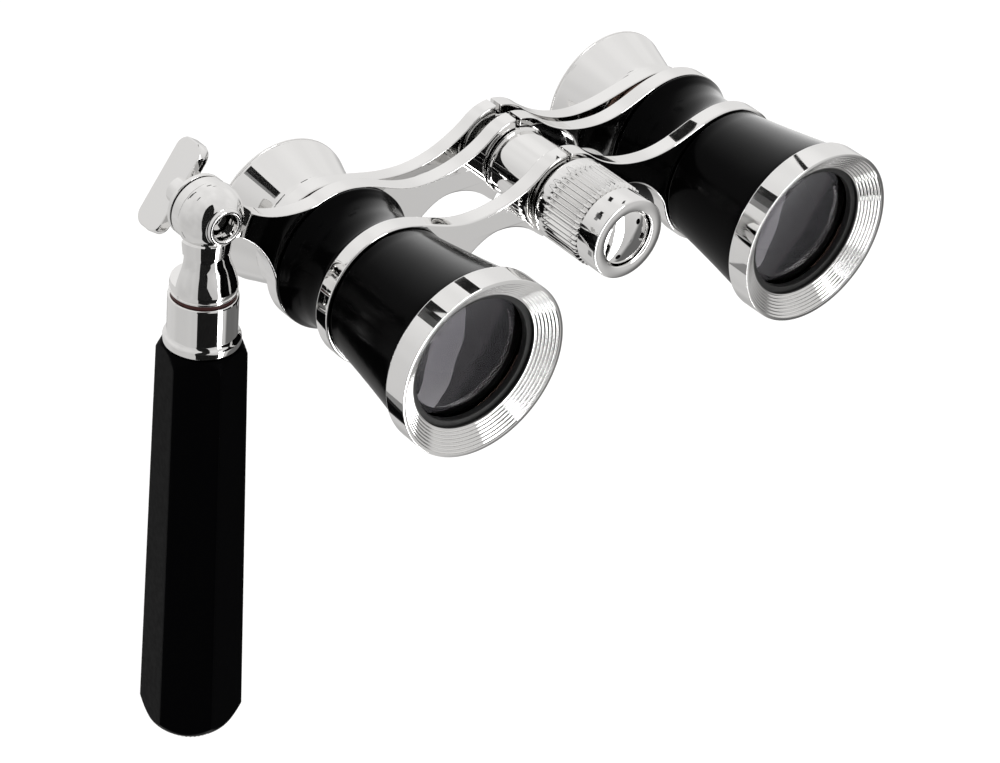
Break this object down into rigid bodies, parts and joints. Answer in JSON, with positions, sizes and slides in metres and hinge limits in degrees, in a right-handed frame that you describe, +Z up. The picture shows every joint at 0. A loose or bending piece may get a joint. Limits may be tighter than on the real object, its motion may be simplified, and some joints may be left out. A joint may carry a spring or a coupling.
{
  "type": "opera glasses",
  "caption": "Opera glasses with two black barrels on chrome bridge plates, a centre focus knob, and a faceted side handle on a clamped pivot.",
  "frame": {"origin": "middle of the handle's grip, on the grip's axis, where a hand holds the object", "axes": "+Z up along the handle (which leans 1.15 degrees off it), +X from the handle towards the glasses, +Y towards the eyepieces; the objectives face -Y"},
  "size_m": [0.1284, 0.0577, 0.1148],
  "materials": {
    "polished_chrome": "bright polished plating",
    "black_lacquer": "gloss black lacquer",
    "grip": "satin black moulding",
    "lens_glass": "polished, faint violet coating",
    "matt_black": "matt black",
    "steel": "turned steel",
    "brass": "turned brass, chemically darkened",
    "fibre": "dark red vulcanised fibre"
  },
  "bodies": {
    "handle": {"grip": "grip", "grip_rod": "steel", "grip_ferrule": "polished_chrome", "neck_washer": "fibre", "handle_head": "polished_chrome", "grip_end_cap": "polished_chrome"},
    "clamp": {"clamp_screw": "polished_chrome", "clamp_washer": "polished_chrome"},
    "left_body": {"left_front_plate": "polished_chrome", "left_rear_plate": "polished_chrome", "left_rear_barrel": "black_lacquer", "left_guide_sleeve": "brass", "left_objective_barrel": "black_lacquer", "left_objective_bezel": "polished_chrome", "left_objective_lens": "lens_glass", "left_lens_ring": "matt_black", "hinge_tube": "polished_chrome", "hinge_collar": "polished_chrome", "hinge_rear_nut": "steel", "knob_washer": "steel"},
    "right_body": {"right_front_plate": "polished_chrome", "right_rear_plate": "polished_chrome", "right_rear_barrel": "black_lacquer", "right_guide_sleeve": "brass", "right_objective_barrel": "black_lacquer", "right_objective_bezel": "polished_chrome", "right_objective_lens": "lens_glass", "right_lens_ring": "matt_black"},
    "focus": {"focus_knob": "polished_chrome", "knob_end_cap": "polished_chrome", "lead_screw": "steel"},
    "left_eyepiece": {"left_eyepiece_arm": "polished_chrome", "left_eyecup": "polished_chrome", "left_eyepiece_tube": "polished_chrome", "left_eye_lens": "lens_glass", "left_eye_lens_ring": "matt_black", "drive_rod": "steel", "bridge_nut": "polished_chrome"},
    "right_eyepiece": {"right_eyepiece_arm": "polished_chrome", "right_eyecup": "polished_chrome", "right_eyepiece_tube": "polished_chrome", "right_eye_lens": "lens_glass", "right_eye_lens_ring": "matt_black"}
  },
  "joints": [
    {"name": "clamp_screw_turn", "type": "hinge", "parent": "handle", "child": "clamp", "pos_m": [0.00165, 0, 0.06498], "axis": [0, 1, 0], "range_deg": [-45, 540]},
    {"name": "handle_pivot", "type": "hinge", "parent": "handle", "child": "left_body", "pos_m": [0.00165, 0, 0.06498], "axis": [0, -1, 0], "range_deg": [-10, 180]},
    {"name": "centre_fold", "type": "hinge", "parent": "left_body", "child": "right_body", "pos_m": [0.06555, 0, 0.05528], "axis": [0, 1, 0], "range_deg": [0, 60]},
    {"name": "focus_turn", "type": "hinge", "parent": "left_body", "child": "focus", "pos_m": [0.06555, 0, 0.05528], "axis": [0, 1, 0], "range_deg": [-108, 450]},
    {"name": "left_eyepiece_slide", "type": "slide", "parent": "left_body", "child": "left_eyepiece", "axis": [0, 1, 0], "range_m": [-0.0011, 0.0047]},
    {"name": "right_eyepiece_slide", "type": "slide", "parent": "right_body", "child": "right_eyepiece", "axis": [0, 1, 0], "range_m": [-0.0011, 0.0047]}
  ],
  "couplings": [
    {"joint": "left_eyepiece_slide", "follows": "focus_turn", "m_per_rad": 0.000557},
    {"joint": "right_eyepiece_slide", "follows": "focus_turn", "m_per_rad": 0.000557}
  ]
}
